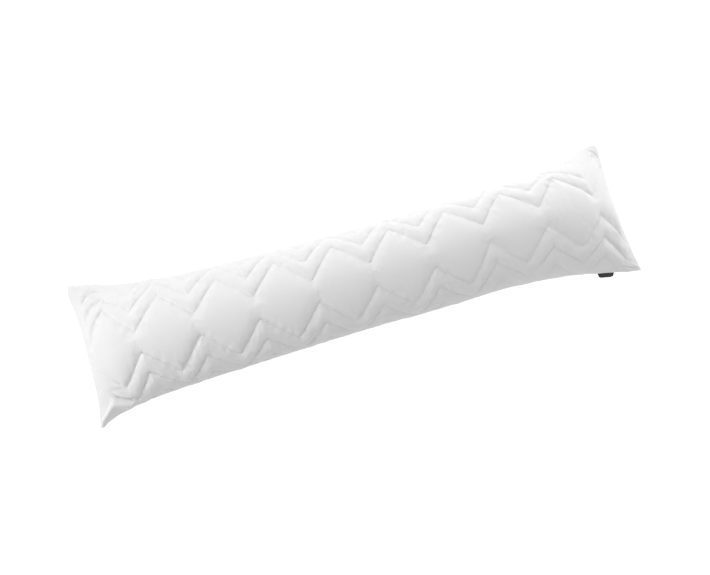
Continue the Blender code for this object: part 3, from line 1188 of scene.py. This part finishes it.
@dataclass
class Stitching:
    """Lockstitches of white thread that lie in the quilting's grooves."""

    pillow: Pillow
    thread: Thread = field(default_factory=Thread)
    length: float = 0.0036
    pitch: float = 0.0046
    thickness: float = 0.0009
    sink: float = 0.0001
    end_margin: float = 0.012
    dip_from: float = 0.35
    dip: float = 0.45
    floor_room: float = 0.004

    def one_stitch(self) -> tuple[np.ndarray, list[tuple[int, ...]]]:
        """Models one stitch along X, with ends that dip into the cloth.

        Returns:
            Its points and faces.
        """
        bpy.ops.object.select_all(action="DESELECT")
        lying = (0.0, math.pi / 2, 0.0)
        bpy.ops.mesh.primitive_uv_sphere_add(segments=6, ring_count=5, radius=0.5, rotation=lying)
        made = bpy.context.active_object
        made.scale = (self.thickness, self.thickness, self.length)
        bpy.ops.object.transform_apply(location=False, rotation=True, scale=True)
        bpy.ops.object.mode_set(mode="EDIT")
        bpy.ops.mesh.select_mode(type="VERT")
        bpy.ops.mesh.select_all(action="DESELECT")
        bpy.ops.object.mode_set(mode="OBJECT")
        for vertex in made.data.vertices:
            vertex.select = abs(vertex.co.x) > self.dip_from * self.length
        bpy.ops.object.mode_set(mode="EDIT")
        bpy.ops.transform.translate(value=(0.0, 0.0, -self.dip * self.thickness))
        bpy.ops.object.mode_set(mode="OBJECT")
        points = np.array([vertex.co[:] for vertex in made.data.vertices])
        faces = [tuple(face.vertices) for face in made.data.polygons]
        bpy.data.objects.remove(made, do_unlink=True)
        return points, faces

    def places(self, path: np.ndarray, normals: np.ndarray, held: np.ndarray) -> list[np.ndarray]:
        """Frames of the stitches along one line.

        Args:
            path: Points of the line.
            normals: The cloth's normals there.
            held: Which points are sewn.

        Returns:
            For each stitch its centre, direction, side and upward vectors as a 4 by 3 array.
        """
        length = np.concatenate([[0.0], np.cumsum(np.linalg.norm(np.diff(path, axis=0), axis=1))])
        made = []
        for at in np.arange(self.end_margin, length[-1] - self.end_margin, self.pitch):
            k = int(np.searchsorted(length, at)) - 1
            if not (held[k] and held[k + 1]):
                continue
            share = (at - length[k]) / (length[k + 1] - length[k])
            centre = path[k] * (1 - share) + path[k + 1] * share
            up = normals[k] * (1 - share) + normals[k + 1] * share
            way = path[k + 1] - path[k]
            way = way / np.linalg.norm(way)
            up = up - way * (up @ way)
            up = up / np.linalg.norm(up)
            made.append(np.stack([centre - up * self.sink, way, np.cross(up, way), up]))
        return made

    def make(self) -> list[bpy.types.Object]:
        """Sews both panels.

        Returns:
            One piece for each panel.
        """
        points, faces = self.one_stitch()
        count, pieces = len(points), []
        material = self.thread.material()
        for panel in self.pillow.panels:
            frames = []
            for row in self.pillow.stitched_rows().values():
                frames += self.places(*self.pillow.line_path(panel, row))
            frames = np.array([frame for frame in frames if frame[0, 2] > self.floor_room])
            all_points = frames[:, None, 0] + np.einsum("pk,fkc->fpc", points, frames[:, 1:])
            all_faces = [tuple(i + n * count for i in face) for n in range(len(frames)) for face in faces]
            mesh = bpy.data.meshes.new(f"{panel.face.name.lower()}_stitches")
            mesh.from_pydata(all_points.reshape(-1, 3).tolist(), [], all_faces)
            mesh.shade_smooth()
            mesh.materials.append(material)
            made = linked(mesh.name, mesh)
            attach(made, "root")
            pieces.append(made)
        return pieces


@dataclass
class SideLabel:
    """A bare ribbon loop caught in the near side seam.

    Attributes:
        start: Distance along the pillow where it begins.
        end: Distance where it ends.
        reach: How far it stands out of the seam.
        hidden: How much of it is caught in the seam.
        droop: How far its fold hangs below the seam.
        taper: How far each corner lies further in than its root.
        gap: Distance between its two layers.
        wave: Height of its slight wave.
        half_waves: How many half waves it has.
        wave_start: Where in a wave it starts, in radians.
        corner_round: How far its corners fall short of its reach.
        corner_share: Share of its half width over which they do.
        fold_power: Exponent of the way round the loop: higher is a wider fold.
        droop_power: Exponent of the way it hangs: higher hangs nearer the fold.
    """

    pillow: Pillow
    ribbon: Ribbon = field(default_factory=Ribbon)
    start: float = 0.5895
    end: float = 0.6335
    reach: float = 0.0110
    hidden: float = 0.0025
    droop: float = 0.0080
    taper: float = 0.0038
    gap: float = 0.0008
    wave: float = 0.0010
    half_waves: float = 1.7
    wave_start: float = 0.4
    corner_round: float = 0.0022
    corner_share: float = 0.3
    fold_power: float = 1.2
    droop_power: float = 1.6
    thickness: float = 0.00035
    steps: tuple[int, int] = (14, 26)

    def root(self, x: np.ndarray) -> np.ndarray:
        """Points of the finished near seam at distances along the pillow."""
        rim = self.pillow.surface[self.pillow.panels[0].index[:, 0]]
        rim = rim[np.argsort(rim[:, 0])]
        return np.stack([np.interp(x, rim[:, 0], rim[:, c]) for c in range(3)], 1)

    def make(self) -> bpy.types.Object:
        """Folds a flat ribbon into the seam.

        Returns:
            The piece.
        """
        width, length = self.end - self.start, 2.0 * (self.reach + self.hidden)
        bpy.ops.object.select_all(action="DESELECT")
        columns, rows = self.steps
        bpy.ops.mesh.primitive_grid_add(x_subdivisions=columns, y_subdivisions=rows, size=1.0)
        made = bpy.context.active_object
        made.name = made.data.name = "side_label_ribbon"
        layer = made.data.uv_layers[0]
        layer.name = "cloth_map"
        flat = np.array([vertex.co[:2] for vertex in made.data.vertices]) + 0.5
        for loop in made.data.loops:
            layer.data[loop.index].uv = flat[loop.vertex_index] * (width, length)
        across, round_loop = flat[:, 0], 2.0 * flat[:, 1] - 1.0
        out = 1.0 - abs(round_loop) ** self.fold_power
        side = np.sign(-round_loop) * np.sqrt(np.clip(1.0 - out**6, 0.0, 1.0))
        at_corner = ramp(abs(2.0 * across - 1.0), 1.0 - self.corner_share, self.corner_share)
        corner = self.corner_round * at_corner * out**4
        away = -self.hidden + (self.reach + self.hidden - corner) * out
        x = self.start + across * width + self.taper * (1.0 - 2.0 * across) * out
        seam = self.root(x)
        lift = self.wave * np.sin(across * math.pi * self.half_waves + self.wave_start) * out
        lift = lift - self.droop * np.clip(out, 0, 1) ** self.droop_power
        points = np.stack([x, seam[:, 1] - away, seam[:, 2] + lift + side * self.gap / 2], 1)
        for vertex, point in zip(made.data.vertices, points):
            vertex.co = point
        thick = made.modifiers.new("Woven thickness", "SOLIDIFY")
        thick.thickness, thick.offset = self.thickness, 0.0
        bpy.ops.object.modifier_apply(modifier=thick.name)
        made.data.shade_smooth()
        made.data.materials.append(self.ribbon.material())
        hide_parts("side_label")
        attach(made, "root")
        return made


@dataclass(frozen=True)
class Lamp:
    """A square softbox: its place to the right and up in the picture, its height, side and watts."""

    name: str
    right: float
    up: float
    height: float
    power: float
    size: float = 0.9


@dataclass
class Studio:
    """The pale floor, the soft lights and the camera above the pillow."""

    lamps: tuple[Lamp, ...] = (
        Lamp("far_left", -2.2, 0.0, 1.1, 14.9),
        Lamp("over_left", -1.0, 0.2, 1.7, 7.7),
        Lamp("over_right", 1.0, 0.3, 1.7, 2.4),
        Lamp("over_above", 0.0, 0.9, 1.7, 5.3),
        Lamp("right", 1.6, 0.0, 0.8, 2.9),
        Lamp("low_above", 0.0, 1.6, 0.3, 9.4),
        Lamp("low_right", 1.4, 1.0, 0.3, 7.6),
        Lamp("below_left", -1.2, -0.8, 1.5, 6.3),
        Lamp("below_right", 1.2, -1.1, 0.8, 2.9),
    )
    sky_strength: float = 0.166
    floor_glow: float = 0.95
    floor_grey: float = 0.25
    floor_size: float = 60.0
    floor_level: float = -0.0002

    camera_at: tuple[float, float, float] = (-0.1376, -0.1392, 2.3920)
    camera_right: tuple[float, float, float] = (0.95553, -0.29239, 0.03849)
    camera_back: tuple[float, float, float] = (-0.05839, -0.05966, 0.99651)
    focal_pixels: float = 926.0
    frame_width: float = 710.0
    frame_height: float = 575.0
    centre_pixel: tuple[float, float] = (354.13, 279.90)

    def floor(self) -> bpy.types.Object:
        """A pale floor that is lit evenly."""
        bpy.ops.object.select_all(action="DESELECT")
        bpy.ops.mesh.primitive_plane_add(size=self.floor_size, location=(0.0, 0.0, self.floor_level))
        made = bpy.context.active_object
        made.name = "floor"
        made.data.materials.append(
            Shader("pale_floor").finish(
                Base_Color=(self.floor_grey, self.floor_grey, self.floor_grey, 1.0),
                Roughness=0.9,
                Emission_Color=(1.0, 1.0, 1.0, 1.0),
                Emission_Strength=self.floor_glow,
                Specular_IOR_Level=0.0,
            )
        )
        return made

    def light(self, lamp: Lamp) -> None:
        """A soft square light that faces the pillow.

        Args:
            lamp: Its place, size and power.
        """
        right = Vector(self.camera_right)
        up = Vector(self.camera_back).cross(right)
        data = bpy.data.lights.new(lamp.name, "AREA")
        data.shape, data.size, data.energy = "SQUARE", lamp.size, lamp.power
        made = linked(lamp.name, data)
        made.location = right * lamp.right + up * lamp.up + Vector((0.0, 0.0, lamp.height))
        made.rotation_euler = made.location.to_track_quat("Z", "Y").to_euler()
        made.visible_camera = False

    def sky(self) -> None:
        """An even pale sky."""
        world = bpy.data.worlds.new("even_sky")
        world.use_nodes = True
        background = world.node_tree.nodes["Background"]
        background.inputs["Color"].default_value = (1.0, 1.0, 1.0, 1.0)
        background.inputs["Strength"].default_value = self.sky_strength
        bpy.context.scene.world = world

    def camera(self) -> None:
        """The camera, nearly straight above, turned so that the pillow rises to the right."""
        right, back = Vector(self.camera_right), Vector(self.camera_back)
        up = back.cross(right)
        across = (self.frame_width / 2 - self.centre_pixel[0]) / self.focal_pixels
        down = (self.frame_height / 2 - self.centre_pixel[1]) / self.focal_pixels
        back = (back - right * across + up * down).normalized()
        right = (right - back * right.dot(back)).normalized()
        up = back.cross(right)
        data = bpy.data.cameras.new("camera")
        data.sensor_width = 36.0
        data.lens = 36.0 * self.focal_pixels / self.frame_width
        data.clip_end = 50.0
        made = linked("camera", data)
        turned = Matrix((right, up, back)).transposed().to_4x4()
        made.matrix_world = Matrix.Translation(self.camera_at) @ turned
        bpy.context.scene.camera = made

    def make(self) -> None:
        """Sets up the whole studio."""
        self.floor()
        for lamp in self.lamps:
            self.light(lamp)
        self.sky()
        self.camera()
        bpy.context.scene.view_settings.view_transform = "Standard"
        bpy.context.scene.view_settings.look = "None"


def main() -> None:
    """Loads the frame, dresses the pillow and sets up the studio."""
    logging.basicConfig(level=logging.INFO, format="%(message)s")
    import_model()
    pillow = Pillow()
    pieces = [pillow.make(), *Stitching(pillow).make(), SideLabel(pillow).make()]
    for piece in pieces:
        log.info("made %s with %d faces", piece.name, len(piece.data.polygons))
    Studio().make()


if __name__ == "__main__":
    main()
